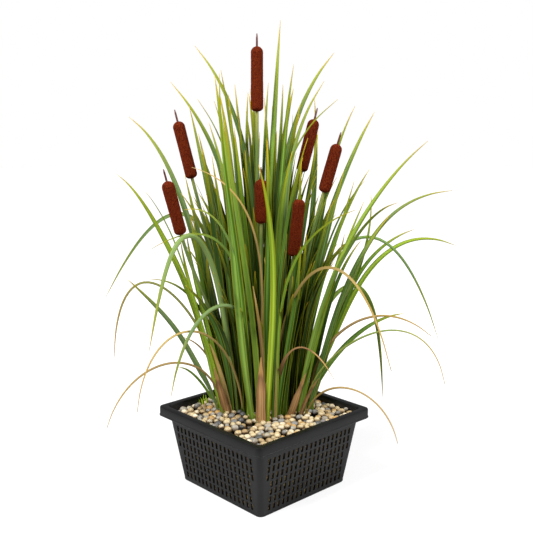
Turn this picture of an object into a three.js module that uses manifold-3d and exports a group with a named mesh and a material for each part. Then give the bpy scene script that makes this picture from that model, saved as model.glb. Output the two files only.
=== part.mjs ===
// A potted cattail: brown seed spikes on green stems, strap leaves and dry
// sheaths, rooted in pea gravel over soil in a square pond basket.
// Millimetres, +Z up. The origin is the centre of the basket's underside, and
// the basket's sides run along X and Y.
import * as THREE from 'three';
import { mergeVertices } from 'three/addons/utils/BufferGeometryUtils.js';
import Module from 'manifold-3d';

const wasm = await Module();
wasm.setup();

// ---------------------------------------------------------------- dimensions
const GAP = 0.4;                    // clearance between touching pieces
const POCKET_GAP = 0.7;             // clearance round each root in the gravel

const RIM_HALF = 141;               // half the side of the basket's rim
const BASKET_HEIGHT = 146;
const BASE_HALF = 109.5;            // half the side of its underside
const WALL = 2.5;
const SKIRT_DEPTH = 18;             // how far the rim turns down outside
const RIM_FLAT = 12;                // width of the flat top of the rim
const CORNER_RADIUS = 10;
const CORNER_STEPS = 4;             // facets in a rounded corner

const SOIL_TOP = 112;
const GRAVEL_TOP = 134;
const ROOT_HEIGHT = 117;            // where every stem and leaf starts

const STEM_DIAMETER = 8.5;          // at the root
const STEM_IN_SPIKE = 6;            // where it carries the spike
const STEM_TIP = 3.4;               // the bare male tip above the spike
const TIP_LENGTH = 22;
const SPIKE_DIAMETER = 23;

// The clump stands a little off the middle of the basket.
const CLUMP_X = 30;
const CLUMP_Y = 30;

// Each stem rises in a vertical plane through the middle of the clump. It has
// the plane's azimuth, the distance of its root from the middle, the foot of
// its spike as [reach, height], and the lean and length of the spike.
const STEMS = [
  { azimuth: 132, root: 14, spike: [13, 689], lean: 0, length: 115 },
  { azimuth: 127, root: 38, spike: [136, 567], lean: 14, length: 108 },
  { azimuth: 160, root: 36, spike: [160, 474], lean: 14.5, length: 99 },
  { azimuth: 215, root: 24, spike: [28, 489], lean: 0, length: 81 },
  { azimuth: 350, root: 34, spike: [83, 578], lean: 17, length: 102 },
  { azimuth: 318, root: 38, spike: [109, 543], lean: 15.5, length: 92 },
  { azimuth: 276, root: 46, spike: [70, 432], lean: 7, length: 106 },
];

// A leaf lies along a cubic curve in such a plane: root, then rise, bow and tip
// as [reach, height]. Width is at the widest point, and turn is how far the
// blade has twisted about its own length by half way, in degrees.
const TALL_LEAVES = [
  { azimuth: 20, root: 34, rise: [10, 365], bow: [20, 620], tip: [66, 855], width: 14, turn: 30 },
  { azimuth: 352, root: 20, rise: [22, 340], bow: [24, 555], tip: [66, 775], width: 13, turn: 40 },
  { azimuth: 7, root: 60, rise: [36, 370], bow: [-6, 650], tip: [215, 805], width: 15, turn: 50 },
  { azimuth: 334, root: 52, rise: [50, 315], bow: [-10, 570], tip: [115, 745], width: 13, turn: 50 },
  { azimuth: 292, root: 34, rise: [45, 300], bow: [-50, 580], tip: [140, 710], width: 12, turn: 45 },
  { azimuth: 95, root: 34, rise: [14, 335], bow: [-20, 650], tip: [180, 815], width: 13, turn: -50 },
  { azimuth: 115, root: 56, rise: [38, 325], bow: [30, 585], tip: [190, 745], width: 13, turn: -50 },
  { azimuth: 173, root: 47, rise: [42, 295], bow: [15, 570], tip: [140, 710], width: 12, turn: -50 },
  { azimuth: 199, root: 64, rise: [40, 330], bow: [160, 530], tip: [155, 750], width: 15, turn: -20 },
  { azimuth: 139, root: 54, rise: [62, 315], bow: [90, 510], tip: [135, 700], width: 16, turn: -60 },
  { azimuth: 232, root: 62, rise: [90, 290], bow: [96, 470], tip: [60, 640], width: 15, turn: 5 },
  { azimuth: 350, root: 76, rise: [92, 315], bow: [135, 525], tip: [260, 690], width: 15, turn: 60 },
  { azimuth: 75, root: 62, rise: [88, 320], bow: [118, 540], tip: [170, 690], width: 13, turn: 10 },
];

const ARCHING_LEAVES = [
  { azimuth: 297, root: 68, rise: [95, 295], bow: [145, 515], tip: [295, 640], width: 16, turn: 65 },
  { azimuth: 312, root: 82, rise: [145, 255], bow: [135, 530], tip: [340, 550], width: 15, turn: 65 },
  { azimuth: 331, root: 84, rise: [130, 245], bow: [205, 515], tip: [390, 430], width: 13, turn: 40 },
  { azimuth: 343, root: 82, rise: [150, 230], bow: [175, 420], tip: [340, 455], width: 12, turn: 60 },
  { azimuth: 323, root: 62, rise: [56, 425], bow: [222, 630], tip: [340, 255], width: 9, turn: 30 },
  { azimuth: 359, root: 84, rise: [130, 360], bow: [330, 470], tip: [355, 65], width: 10, turn: 40 },
  { azimuth: 284, root: 66, rise: [85, 220], bow: [150, 510], tip: [265, 540], width: 13, turn: 55 },
  { azimuth: 131, root: 76, rise: [105, 255], bow: [112, 580], tip: [250, 680], width: 14, turn: -65 },
  { azimuth: 147, root: 78, rise: [95, 215], bow: [175, 515], tip: [265, 580], width: 14, turn: -60 },
  { azimuth: 121, root: 70, rise: [50, 450], bow: [145, 665], tip: [330, 325], width: 10, turn: -30 },
  { azimuth: 175, root: 64, rise: [82, 385], bow: [170, 680], tip: [250, 285], width: 12, turn: -30 },
  { azimuth: 156, root: 88, rise: [112, 220], bow: [190, 335], tip: [256, 398], width: 15, turn: -70 },
  { azimuth: 187, root: 46, rise: [-40, 375], bow: [196, 435], tip: [245, 215], width: 10, turn: -35 },
  { azimuth: 50, root: 70, rise: [110, 300], bow: [170, 560], tip: [270, 440], width: 12, turn: 15 },
];

const DRY_LEAVES = [
  { azimuth: 266, root: 40, rise: [0, 355], bow: [205, 590], tip: [322, 282], width: 8, turn: 35 },
  { azimuth: 304, root: 90, rise: [66, 245], bow: [192, 390], tip: [310, 290], width: 8, turn: 35 },
  { azimuth: 289, root: 88, rise: [66, 240], bow: [308, 425], tip: [350, 230], width: 6, turn: 30 },
  { azimuth: 281, root: 92, rise: [110, 230], bow: [255, 235], tip: [285, 125], width: 6, turn: 30 },
  { azimuth: 139, root: 86, rise: [66, 280], bow: [268, 545], tip: [285, 230], width: 8, turn: -35 },
  { azimuth: 184, root: 56, rise: [76, 350], bow: [280, 384], tip: [306, 203], width: 7, turn: -35 },
  { azimuth: 167, root: 88, rise: [92, 280], bow: [268, 290], tip: [315, 150], width: 7, turn: -30 },
];

// Dry sheaths are what is left of last year's leaves at the foot of the clump.
const SHEATHS = [
  { azimuth: 223, root: 90, rise: [94, 165], bow: [92, 210], tip: [86, 255], width: 20, turn: 0 },
  { azimuth: 251, root: 48, rise: [45, 262], bow: [160, 337], tip: [275, 268], width: 12, turn: 20 },
  { azimuth: 268, root: 67, rise: [84, 156], bow: [98, 190], tip: [115, 226], width: 15, turn: 10 },
  { azimuth: 170, root: 78, rise: [92, 165], bow: [102, 197], tip: [110, 228], width: 17, turn: -15 },
  { azimuth: 280, root: 80, rise: [92, 160], bow: [106, 186], tip: [124, 212], width: 9, turn: 0 },
];

// Slender spindles that stand for the many inner leaves of the clump.
const TUFTS = [
  { azimuth: 56, root: 48, rise: [50, 300], bow: [50, 500], tip: [66, 700], width: 16, turn: 0 },
  { azimuth: 60, root: 22, rise: [26, 300], bow: [34, 480], tip: [40, 640], width: 14, turn: 0 },
  { azimuth: 306, root: 50, rise: [64, 280], bow: [78, 440], tip: [120, 600], width: 12, turn: 0 },
  { azimuth: 35, root: 72, rise: [84, 280], bow: [96, 440], tip: [130, 600], width: 14, turn: 0 },
];

const LEAF_STEPS = 12;
const ARCH_STEPS = 16;

// ----------------------------------------------------------------- materials
const satinBlack = () => new THREE.MeshStandardMaterial({ color: '#2b2b2e', roughness: 0.45, metalness: 0 });
const darkSoil = () => new THREE.MeshStandardMaterial({ color: '#4a3a29', roughness: 0.95, metalness: 0 });
const peaGravel = () => new THREE.MeshStandardMaterial({ color: '#b5a88c', roughness: 0.7, metalness: 0 });
const greenStem = () => new THREE.MeshStandardMaterial({ color: '#7d9a3c', roughness: 0.55, metalness: 0 });
const seedVelvet = () => new THREE.MeshStandardMaterial({ color: '#6b2a14', roughness: 1, metalness: 0 });
const darkBlade = () => new THREE.MeshStandardMaterial({ color: '#4f7a35', roughness: 0.5, metalness: 0 });
const lightBlade = () => new THREE.MeshStandardMaterial({ color: '#7fa33a', roughness: 0.5, metalness: 0 });
const straw = () => new THREE.MeshStandardMaterial({ color: '#b08a52', roughness: 0.8, metalness: 0 });

const cattail = new THREE.Group();

function addPiece(name, geometry, material) {
  const piece = new THREE.Mesh(geometry, material);
  piece.name = name;
  cattail.add(piece);
  return piece;
}

// ------------------------------------------------------------ shape builders
const radians = THREE.MathUtils.degToRad;

// In a vertical plane through the clump's middle, [reach, height] as a vector
// and as a point.
function planeVector(azimuth, [reach, height]) {
  const angle = radians(azimuth);
  return new THREE.Vector3(reach * Math.cos(angle), reach * Math.sin(angle), height);
}

function inPlane(azimuth, place) {
  return planeVector(azimuth, place).add(new THREE.Vector3(CLUMP_X, CLUMP_Y, 0));
}

function positionsOnly(geometry) {
  geometry.deleteAttribute('normal');
  geometry.deleteAttribute('uv');
  return mergeVertices(geometry, 1e-3);
}

// A closed cylinder of unit size bent along a curve in the plane of azimuth.
// section(t) gives the blade's width, thickness and twist at t from 0 to 1.
function bendAlong(curve, azimuth, section, sides, steps) {
  const geometry = new THREE.CylinderGeometry(1, 1, 1, sides, steps);
  const acrossPlane = new THREE.Vector3(-Math.sin(radians(azimuth)), Math.cos(radians(azimuth)), 0);
  const position = geometry.attributes.position;
  for (let i = 0; i < position.count; i += 1) {
    const t = THREE.MathUtils.clamp(position.getY(i) + 0.5, 0, 1);
    const tangent = curve.getTangent(t);
    const { width, thickness, twist } = section(t);
    const across = acrossPlane.clone().applyAxisAngle(tangent, radians(twist));
    const through = across.clone().cross(tangent);
    const point = curve.getPoint(t)
      .addScaledVector(across, position.getX(i) * width / 2)
      .addScaledVector(through, position.getZ(i) * thickness / 2);
    position.setXYZ(i, point.x, point.y, point.z);
  }
  return positionsOnly(geometry);
}

// A blade is thick and parallel-sided at the root and tapers to a fine tip.
function bladeSection({ width, turn }, grow) {
  return (t) => ({
    width: (width - 1) * (1 - Math.pow(t, 2.4)) * (0.8 + 0.2 * Math.min(1, 4 * t)) + 1 + 2 * grow,
    thickness: THREE.MathUtils.lerp(4.6, 1.3, Math.min(1, 1.5 * t)) + 2 * grow,
    twist: turn * THREE.MathUtils.smoothstep(t, 0.05, 0.5),
  });
}

function bladeCurve({ azimuth, root, rise, bow, tip }, startHeight) {
  return new THREE.CubicBezierCurve3(
    inPlane(azimuth, [root, startHeight]),
    inPlane(azimuth, rise),
    inPlane(azimuth, bow),
    inPlane(azimuth, tip),
  );
}

function blade(leaf, steps) {
  return bendAlong(bladeCurve(leaf, ROOT_HEIGHT), leaf.azimuth, bladeSection(leaf, 0), 4, steps);
}

// A solid with a rounded-square plan. profile lists [half side, height, corner
// radius] from the middle of one end face to the middle of the other.
function roundedSquare(profile) {
  const around = 4 * (CORNER_STEPS + 1);
  const geometry = new THREE.CylinderGeometry(1, 1, 1, around, profile.length - 1);
  geometry.rotateX(Math.PI / 2);
  const position = geometry.attributes.position;
  for (let i = 0; i < position.count; i += 1) {
    const x = position.getX(i);
    const y = position.getY(i);
    const row = Math.round((0.5 - position.getZ(i)) * (profile.length - 1));
    const [half, height, radius] = profile[row];
    if (Math.hypot(x, y) < 0.5) {
      position.setXYZ(i, 0, 0, height);
      continue;
    }
    const turns = (Math.atan2(x, -y) / (2 * Math.PI) + 1) % 1;
    const index = Math.round(turns * around) % around;
    const corner = Math.floor(index / (CORNER_STEPS + 1));
    const step = index % (CORNER_STEPS + 1);
    const angle = radians(-90 + 90 * corner + 90 * step / CORNER_STEPS);
    const centreAngle = radians(-45 + 90 * corner);
    const centre = (half - radius) * Math.SQRT2;
    position.setXYZ(
      i,
      centre * Math.cos(centreAngle) + radius * Math.cos(angle),
      centre * Math.sin(centreAngle) + radius * Math.sin(angle),
      height,
    );
  }
  return positionsOnly(geometry);
}

function toSolid(geometry) {
  return new wasm.Manifold(new wasm.Mesh({
    numProp: 3,
    vertProperties: new Float32Array(geometry.attributes.position.array),
    triVerts: new Uint32Array(geometry.index.array),
  }));
}

function toGeometry(solid) {
  const { vertProperties, triVerts } = solid.getMesh();
  const geometry = new THREE.BufferGeometry();
  geometry.setAttribute('position', new THREE.BufferAttribute(vertProperties, 3));
  geometry.setIndex(new THREE.BufferAttribute(triVerts, 1));
  return geometry;
}

// -------------------------------------------------------------------- basket
// One moulded shell: floor, tapering walls and a rim that turns down outside.
const WALL_TOP_HALF = RIM_HALF - RIM_FLAT - 0.7;
const FLOOR = 3;

function innerHalf(height) {
  const bottom = BASE_HALF - WALL;
  const top = WALL_TOP_HALF - 1.2;
  return THREE.MathUtils.mapLinear(height, FLOOR, BASKET_HEIGHT - 2.5, bottom, top);
}

addPiece('pond_basket', roundedSquare([
  [innerHalf(FLOOR), FLOOR, CORNER_RADIUS - 2],
  [innerHalf(BASKET_HEIGHT - 2.5), BASKET_HEIGHT - 2.5, CORNER_RADIUS - 2],
  [WALL_TOP_HALF, BASKET_HEIGHT, CORNER_RADIUS - 1],
  [RIM_HALF - 1.5, BASKET_HEIGHT, CORNER_RADIUS],
  [RIM_HALF, BASKET_HEIGHT - 1.5, CORNER_RADIUS],
  [RIM_HALF + 1, BASKET_HEIGHT - SKIRT_DEPTH, CORNER_RADIUS + 1],
  [RIM_HALF - 1.5, BASKET_HEIGHT - SKIRT_DEPTH, CORNER_RADIUS - 1],
  [RIM_HALF - 2.5, BASKET_HEIGHT - 3, CORNER_RADIUS - 2],
  [innerHalf(BASKET_HEIGHT - 3) + WALL, BASKET_HEIGHT - 3, CORNER_RADIUS],
  [BASE_HALF + 0.3, 2, CORNER_RADIUS + 1],
  [BASE_HALF - 1, 0, CORNER_RADIUS],
]), satinBlack());

addPiece('soil', roundedSquare([
  [innerHalf(SOIL_TOP) - GAP, SOIL_TOP, CORNER_RADIUS - 2],
  [innerHalf(FLOOR + GAP) - GAP, FLOOR + GAP, CORNER_RADIUS - 2],
]), darkSoil());

// --------------------------------------------------------- stems and spikes
// Everything rooted in the gravel leaves a pocket in it, kept here.
const pockets = [];

STEMS.forEach((stem, index) => {
  const { azimuth, root, spike, lean, length } = stem;
  const foot = inPlane(azimuth, spike);
  const leaning = radians(lean);
  const direction = planeVector(azimuth, [Math.sin(leaning), Math.cos(leaning)]);
  const below = foot.clone().addScaledVector(direction, -0.35 * (spike[1] - ROOT_HEIGHT));

  function stemGeometry(startHeight, grow) {
    const bend = new THREE.CubicBezierCurve3(
      inPlane(azimuth, [root, startHeight]),
      inPlane(azimuth, [root + 0.12 * (spike[0] - root), ROOT_HEIGHT + 0.35 * (spike[1] - ROOT_HEIGHT)]),
      below,
      foot,
    );
    const top = foot.clone().addScaledVector(direction, length + TIP_LENGTH);
    const route = new THREE.CurvePath();
    route.add(bend);
    route.add(new THREE.LineCurve3(foot, top));
    const bendLength = bend.getLength();
    const whole = bendLength + length + TIP_LENGTH;
    const curve = {
      getPoint: (t) => (t * whole <= bendLength
        ? bend.getPoint(t * whole / bendLength)
        : foot.clone().addScaledVector(direction, t * whole - bendLength)),
      getTangent: (t) => (t * whole <= bendLength ? bend.getTangent(t * whole / bendLength) : direction),
    };
    const section = (t) => {
      const along = t * whole;
      const diameter = along <= bendLength
        ? THREE.MathUtils.mapLinear(along, 0, bendLength, STEM_DIAMETER, STEM_IN_SPIKE)
        : THREE.MathUtils.mapLinear(along, bendLength, whole, STEM_IN_SPIKE, STEM_TIP);
      return { width: diameter + 2 * grow, thickness: diameter + 2 * grow, twist: 0 };
    };
    return bendAlong(curve, azimuth, section, 8, 16);
  }

  addPiece(`stem_${index + 1}`, stemGeometry(ROOT_HEIGHT, 0), greenStem());
  pockets.push(stemGeometry(ROOT_HEIGHT - POCKET_GAP, POCKET_GAP));

  const radius = SPIKE_DIAMETER / 2;
  const bore = STEM_IN_SPIKE / 2 + 0.5;
  const profile = [
    new THREE.Vector2(bore, 1),
    new THREE.Vector2(radius * 0.62, 0.4),
    new THREE.Vector2(radius * 0.9, 4),
    new THREE.Vector2(radius, 11),
    new THREE.Vector2(radius * 0.98, length - 12),
    new THREE.Vector2(radius * 0.86, length - 4),
    new THREE.Vector2(radius * 0.55, length - 0.4),
    new THREE.Vector2(bore, length),
    new THREE.Vector2(bore, 1),
  ];
  const lathe = positionsOnly(new THREE.LatheGeometry(profile, 14));
  const piece = addPiece(`spike_${index + 1}`, lathe, seedVelvet());
  piece.position.copy(foot);
  piece.quaternion.setFromUnitVectors(new THREE.Vector3(0, 1, 0), direction);
});

// -------------------------------------------------------------------- leaves
function addLeaves(name, leaves, steps, material) {
  leaves.forEach((leaf, index) => {
    addPiece(`${name}_${index + 1}`, blade(leaf, steps), material());
    const pocketCurve = bladeCurve(leaf, ROOT_HEIGHT - POCKET_GAP);
    pockets.push(bendAlong(pocketCurve, leaf.azimuth, bladeSection(leaf, POCKET_GAP), 4, steps));
  });
}

addLeaves('tall_leaf', TALL_LEAVES, LEAF_STEPS, darkBlade);
addLeaves('arching_leaf', ARCHING_LEAVES, ARCH_STEPS, lightBlade);
addLeaves('dry_leaf', DRY_LEAVES, ARCH_STEPS, straw);
addLeaves('dry_sheath', SHEATHS, LEAF_STEPS, straw);
addLeaves('leaf_tuft', TUFTS, LEAF_STEPS, darkBlade);

// -------------------------------------------------------------------- gravel
let gravel = toSolid(roundedSquare([
  [innerHalf(GRAVEL_TOP) - GAP - 1, GRAVEL_TOP, CORNER_RADIUS - 2],
  [innerHalf(GRAVEL_TOP - 3) - GAP, GRAVEL_TOP - 3, CORNER_RADIUS - 2],
  [innerHalf(SOIL_TOP + GAP) - GAP, SOIL_TOP + GAP, CORNER_RADIUS - 2],
]));
for (const pocket of pockets) {
  gravel = gravel.subtract(toSolid(pocket));
}
addPiece('gravel_bed', toGeometry(gravel), peaGravel());

export default cattail;
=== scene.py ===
import math

import bmesh
import bpy
import numpy as np
from mathutils import Matrix, Vector


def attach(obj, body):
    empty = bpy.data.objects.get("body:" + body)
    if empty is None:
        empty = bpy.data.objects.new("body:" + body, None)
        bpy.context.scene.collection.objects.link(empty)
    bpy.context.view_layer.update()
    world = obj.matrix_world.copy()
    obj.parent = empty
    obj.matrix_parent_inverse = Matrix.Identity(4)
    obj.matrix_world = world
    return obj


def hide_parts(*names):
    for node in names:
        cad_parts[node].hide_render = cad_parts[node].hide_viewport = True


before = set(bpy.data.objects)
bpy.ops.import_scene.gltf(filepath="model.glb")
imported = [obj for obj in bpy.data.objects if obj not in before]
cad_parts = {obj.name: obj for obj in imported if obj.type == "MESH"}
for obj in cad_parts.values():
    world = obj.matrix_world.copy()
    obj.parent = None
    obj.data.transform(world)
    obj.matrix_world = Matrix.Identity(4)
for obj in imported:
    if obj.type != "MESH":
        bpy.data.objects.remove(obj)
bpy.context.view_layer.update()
MM = 0.001

# --- Camera -----------------------------------------------------------------
# A portrait lens a metre and a half from the plant, a little above its middle.
# It looks along the basket's diagonal, tipped down so that the gravel shows.
CAMERA_TURN = math.radians(43.1)
CAMERA_TILT = math.radians(10.47)

camera = bpy.data.objects.new("camera", bpy.data.cameras.new("camera"))
camera.data.lens = 55.05
camera.data.sensor_width = 36
camera.data.clip_end = 20
camera.location = (-990 * MM, -1066 * MM, 682 * MM)
camera.rotation_euler = (math.pi / 2 - CAMERA_TILT, 0, -CAMERA_TURN)
bpy.context.scene.collection.objects.link(camera)
bpy.context.scene.camera = camera

# --- Pond basket ------------------------------------------------------------
# A square aquatic basket, moulded in one piece from black polypropylene. Its
# walls taper to the base, its rim turns down outside as a hand grip, and rows
# of upright slots let the pond water through.
BASKET_HEIGHT = 146
RIM_HALF = 141
BASE_HALF = 109.5
WALL = 2.5
FLOOR = 3
SKIRT_DEPTH = 18
RIM_WIDTH, RIM_ROUND = 13.9, 2.5
CORNER = 10
SLOT_WIDTH, SLOT_HEIGHT = 5.2, 11.3
SLOT_PITCH, ROW_PITCH = 11.25, 15.2
TOP_ROW = 106.5
UPPER_ROWS, UPPER_COLUMNS = 3, 19
LOWER_ROWS, LOWER_COLUMNS = 4, 17
FLOOR_ROWS, FLOOR_COLUMNS = 11, 15


def srgb(colour):
    """An sRGB hex colour such as 2b2b2e as linear red, green, blue, alpha."""
    parts = [int(colour[i:i + 2], 16) / 255 for i in (0, 2, 4)]
    return [p / 12.92 if p <= 0.04045 else ((p + 0.055) / 1.055) ** 2.4 for p in parts] + [1]


def add_node(material, kind, inputs=None, **settings):
    """Adds a node with its settings. An input is a value, or an output socket to link."""
    made = material.node_tree.nodes.new("ShaderNode" + kind)
    for name, value in settings.items():
        setattr(made, name, value)
    for name, value in (inputs or {}).items():
        if isinstance(value, bpy.types.NodeSocket):
            material.node_tree.links.new(value, made.inputs[name])
        else:
            made.inputs[name].default_value = value
    return made


def colour_ramp(material, factor, stops):
    """A ramp from stops of (position, hex colour)."""
    ramp = add_node(material, "ValToRGB", {"Fac": factor})
    points = ramp.color_ramp.elements
    while len(points) < len(stops):
        points.new(0.5)
    for point, (position, colour) in zip(points, stops):
        point.position = position
        point.color = srgb(colour)
    return ramp.outputs["Color"]


def start_material(name):
    """A new material with nothing but its output and Principled nodes."""
    material = bpy.data.materials.new(name)
    material.use_nodes = True
    return material, material.node_tree.nodes["Principled BSDF"]


def link(material, output, target):
    """Links an output to an input that was there before."""
    material.node_tree.links.new(output, target)


def add_mesh(name, points, faces, material):
    """A new object, shaded smooth, from points in millimetres."""
    mesh = bpy.data.meshes.new(name)
    mesh.from_pydata([tuple(p) for p in np.asarray(points, float) * MM], [], faces)
    mesh.polygons.foreach_set("use_smooth", [True] * len(mesh.polygons))
    mesh.materials.append(material)
    made = bpy.data.objects.new(name, mesh)
    bpy.context.scene.collection.objects.link(made)
    return made


def loft(rings):
    """Points and faces of a closed body through rings of points of the same count."""
    count = len(rings[0])
    faces = []
    for r in range(len(rings) - 1):
        for i in range(count):
            j = (i + 1) % count
            faces.append((r * count + i, r * count + j, (r + 1) * count + j, (r + 1) * count + i))
    last = (len(rings) - 1) * count
    faces.append(tuple(reversed(range(count))))
    faces.append(tuple(last + i for i in range(count)))
    return np.concatenate(rings), faces


def join(bodies):
    """Points and faces of several closed bodies as one mesh."""
    points, faces, start = [], [], 0
    for body_points, body_faces in bodies:
        points.append(body_points)
        faces += [tuple(start + i for i in face) for face in body_faces]
        start += len(body_points)
    return np.concatenate(points), faces


def square_ring(half, height, radius, steps=7):
    """A square with rounded corners, counterclockwise seen from above."""
    ring = []
    for corner in range(4):
        for step in range(steps + 1):
            angle = math.radians(90 * corner + 90 * step / steps)
            middle = math.radians(45 + 90 * corner)
            reach = (half - radius) * math.sqrt(2)
            ring.append((reach * math.cos(middle) + radius * math.cos(angle),
                         reach * math.sin(middle) + radius * math.sin(angle), height))
    return np.array(ring)


def inner_half(height):
    """Half the inside width of the basket at a height."""
    slope = (RIM_HALF - RIM_WIDTH - BASE_HALF + WALL) / (BASKET_HEIGHT - RIM_ROUND - FLOOR)
    return BASE_HALF - WALL + slope * (height - FLOOR)


polypropylene, skin = start_material("polypropylene_moulded_black")
# Carbon-black plastic off a finely spark-eroded mould: a soft satin, with the
# faint cloudiness and dust of a basket that has been handled. The clouds are
# about 70 mm across. The grit is drawn 1.1 mm coarse so that it shows.
place = add_node(polypropylene, "TexCoord").outputs["Object"]
cloud = add_node(polypropylene, "TexNoise", {"Vector": place, "Scale": 14.0, "Detail": 4.0})
grit = add_node(polypropylene, "TexNoise", {"Vector": place, "Scale": 900.0, "Detail": 2.0})
link(polypropylene, colour_ramp(polypropylene, cloud.outputs["Fac"],
                                [(0.3, "0a0a0b"), (0.7, "121214")]), skin.inputs["Base Color"])
satin = add_node(polypropylene, "MapRange", {"Value": cloud.outputs["Fac"], "To Min": 0.28,
                                             "To Max": 0.4})
link(polypropylene, satin.outputs["Result"], skin.inputs["Roughness"])
grain = add_node(polypropylene, "Bump", {"Height": grit.outputs["Fac"], "Strength": 0.12,
                                         "Distance": 0.0003})
link(polypropylene, grain.outputs["Normal"], skin.inputs["Normal"])
skin.inputs["IOR"].default_value = 1.49
skin.inputs["Specular IOR Level"].default_value = 0.45

SKIRT_FOOT = BASKET_HEIGHT - SKIRT_DEPTH
shell_profile = [
    (BASE_HALF - 3, 0, CORNER - 1),
    (BASE_HALF - 1, 0.3, CORNER),
    (BASE_HALF + 0.2, 1.6, CORNER + 1),
    (inner_half(6) + WALL, 6, CORNER + 1),
    (inner_half(124) + WALL, 124, CORNER + 1),
    (inner_half(BASKET_HEIGHT - 4) + WALL, BASKET_HEIGHT - 4, CORNER),
    (RIM_HALF - 3.5, BASKET_HEIGHT - 3.4, CORNER - 3),
    (RIM_HALF - 2.6, BASKET_HEIGHT - 4.6, CORNER - 2),
    (RIM_HALF - 1.5, SKIRT_FOOT, CORNER - 1),
    (RIM_HALF + 0.5, SKIRT_FOOT, CORNER + 1),
    (RIM_HALF + 1, SKIRT_FOOT + 0.6, CORNER + 1),
    (RIM_HALF + 0.9, SKIRT_FOOT + 2.6, CORNER + 1),
    (RIM_HALF + 0.3, SKIRT_FOOT + 3.1, CORNER + 1),
    (RIM_HALF, BASKET_HEIGHT - 2.2, CORNER),
    (RIM_HALF - 0.6, BASKET_HEIGHT - 0.7, CORNER),
    (RIM_HALF - 2, BASKET_HEIGHT, CORNER),
    (RIM_HALF - 11, BASKET_HEIGHT, CORNER - 2),
    (RIM_HALF - 12.4, BASKET_HEIGHT - 0.5, CORNER - 2),
    (RIM_HALF - 13.3, BASKET_HEIGHT - 2, CORNER - 2),
    (inner_half(BASKET_HEIGHT - 6), BASKET_HEIGHT - 6, CORNER - 2),
    (inner_half(FLOOR + 3), FLOOR + 3, CORNER - 2),
    (inner_half(FLOOR) - 2.5, FLOOR, CORNER - 3),
]
shell = add_mesh("pond_basket_moulding", *loft([square_ring(*p) for p in shell_profile]),
                 polypropylene)

# Each slot is a tapered punch that leaves a small lead-in on the outside. Its
# rings are given as (distance out from the wall's face, extra width).
PUNCH = [(4, 1.2), (0.4, 1.2), (-0.5, 0), (-7, 0)]
SLOT_CORNER = 0.9


def slot_punch(middle, outward, along, upward):
    """The body of one slot's punch, with its corners cut off."""
    rings = []
    for out, grow in PUNCH:
        half_width, half_height = (SLOT_WIDTH + grow) / 2, (SLOT_HEIGHT + grow) / 2
        ring = []
        for sx, sy in ((1, -1), (1, 1), (-1, 1), (-1, -1)):
            first = (sx * half_width, sy * (half_height - SLOT_CORNER))
            second = (sx * (half_width - SLOT_CORNER), sy * half_height)
            ring += [second, first] if sx * sy < 0 else [first, second]
        rings.append(np.array([middle + outward * out + along * x + upward * y for x, y in ring]))
    return loft(rings[::-1])


EAST, NORTH, UP = np.eye(3)
punches = []
for side in range(4):
    facing = np.array([math.cos(side * math.pi / 2), math.sin(side * math.pi / 2), 0])
    along = np.array([-facing[1], facing[0], 0])
    for row in range(UPPER_ROWS + LOWER_ROWS):
        columns = UPPER_COLUMNS if row < UPPER_ROWS else LOWER_COLUMNS
        height = TOP_ROW - row * ROW_PITCH
        for column in range(columns):
            offset = (column - (columns - 1) / 2) * SLOT_PITCH
            middle = facing * (inner_half(height) + WALL) + along * offset + UP * height
            punches.append(slot_punch(middle, facing, along, UP))
for row in range(FLOOR_ROWS):
    for column in range(FLOOR_COLUMNS):
        middle = (EAST * (column - (FLOOR_COLUMNS - 1) / 2) * SLOT_PITCH
                  + NORTH * (row - (FLOOR_ROWS - 1) / 2) * ROW_PITCH)
        punches.append(slot_punch(middle, -UP, EAST, NORTH))
cutters = add_mesh("slot_punches", *join(punches), polypropylene)
for body in (shell, cutters):
    turned_out = bmesh.new()
    turned_out.from_mesh(body.data)
    bmesh.ops.recalc_face_normals(turned_out, faces=turned_out.faces)
    turned_out.to_mesh(body.data)
    turned_out.free()
cut = shell.modifiers.new("slots", "BOOLEAN")
cut.object = cutters
cut.operation = "DIFFERENCE"
cut.solver = "MANIFOLD"


def apply_modifiers(piece):
    """Bakes the modifiers of a piece into its mesh."""
    bpy.context.view_layer.update()
    shown = piece.evaluated_get(bpy.context.evaluated_depsgraph_get())
    baked = bpy.data.meshes.new_from_object(shown)
    piece.modifiers.clear()
    piece.data = baked


apply_modifiers(shell)
bpy.data.objects.remove(cutters)
shell.data.set_sharp_from_angle(angle=math.radians(32))
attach(shell, "root")
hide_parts("pond_basket")

# --- Soil -------------------------------------------------------------------
# Loam and coir fibre packed inside the basket. It shows only through the
# slots, as a dull brown surface just behind the wall.
SOIL_TOP = 112

loam, earth = start_material("loam_and_coir_packed")
# Matt and crumbly, with painted shade in the hollows: the colour is darkest where the crumb bump sinks
# lowest. Paler strands
#  of coconut fibre run through it: crumbs of 6 mm, and strands of 17 by 2.4 mm, which lie flat.
place = add_node(loam, "TexCoord").outputs["Object"]
crumb = add_node(loam, "TexNoise", {"Vector": place, "Scale": 170.0, "Detail": 6.0, "Roughness": 0.65})
stretch = add_node(loam, "Mapping", {"Vector": place, "Scale": (60, 60, 420)})
strand = add_node(loam, "TexNoise", {"Vector": stretch.outputs["Vector"], "Scale": 1.0, "Detail": 5.0,
                                     "Distortion": 1.5})
both = add_node(loam, "Math", {0: crumb.outputs["Fac"], 1: strand.outputs["Fac"]}, operation="MULTIPLY")
# The ramp darkens the low crumbs that the bump sinks: a painted shade in the hollows.
link(loam, colour_ramp(loam, both.outputs[0], [(0.15, "0e0906"), (0.28, "7e683c"), (0.4, "b8a068")]),
     earth.inputs["Base Color"])
crumble = add_node(loam, "Bump", {"Height": crumb.outputs["Fac"], "Strength": 0.8, "Distance": 0.002})
link(loam, crumble.outputs["Normal"], earth.inputs["Normal"])
earth.inputs["Roughness"].default_value = 0.95

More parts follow.
